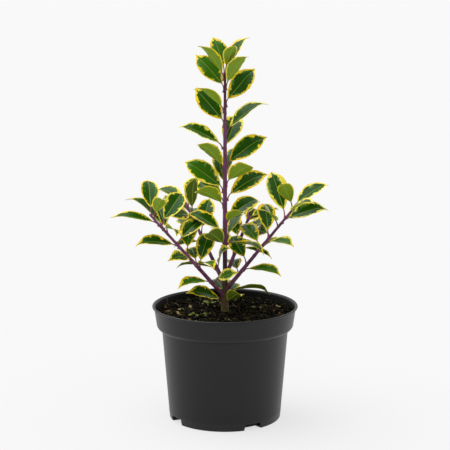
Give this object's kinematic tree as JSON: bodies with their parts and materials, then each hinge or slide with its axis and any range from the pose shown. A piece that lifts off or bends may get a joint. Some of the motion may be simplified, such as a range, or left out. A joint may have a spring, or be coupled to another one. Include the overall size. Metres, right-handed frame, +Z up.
{
  "type": "potted golden king highclere holly",
  "caption": "Young holly shrub in a round nursery pot: straight leader with rising boughs and broad, glossy green leaves edged in gold.",
  "frame": {"origin": "centre of the pot's flat underside", "axes": "+Z up along the trunk, +X to the right and +Y away from the viewer in the picture"},
  "size_m": [0.2793, 0.2023, 0.4964],
  "materials": {
    "pot_plastic": "satin charcoal moulded plastic",
    "potting_mix": "damp dark peat and bark with pale grit",
    "bark": "smooth purple bark, olive at the foot",
    "leaf": "glossy deep green leaves with bright gold margins"
  },
  "bodies": {
    "root": {"pot": "pot_plastic", "potting_mix": "potting_mix", "trunk": "bark", "bough_left": "bark", "bough_right": "bark", "bough_back_left": "bark", "bough_back_right": "bark", "foliage_foot": "leaf", "foliage_leader_low": "leaf", "foliage_leader_middle": "leaf", "foliage_leader_upper": "leaf", "foliage_leader_top": "leaf", "foliage_left": "leaf", "foliage_right": "leaf", "foliage_back_left": "leaf", "foliage_back_right": "leaf"}
  },
  "joints": []
}
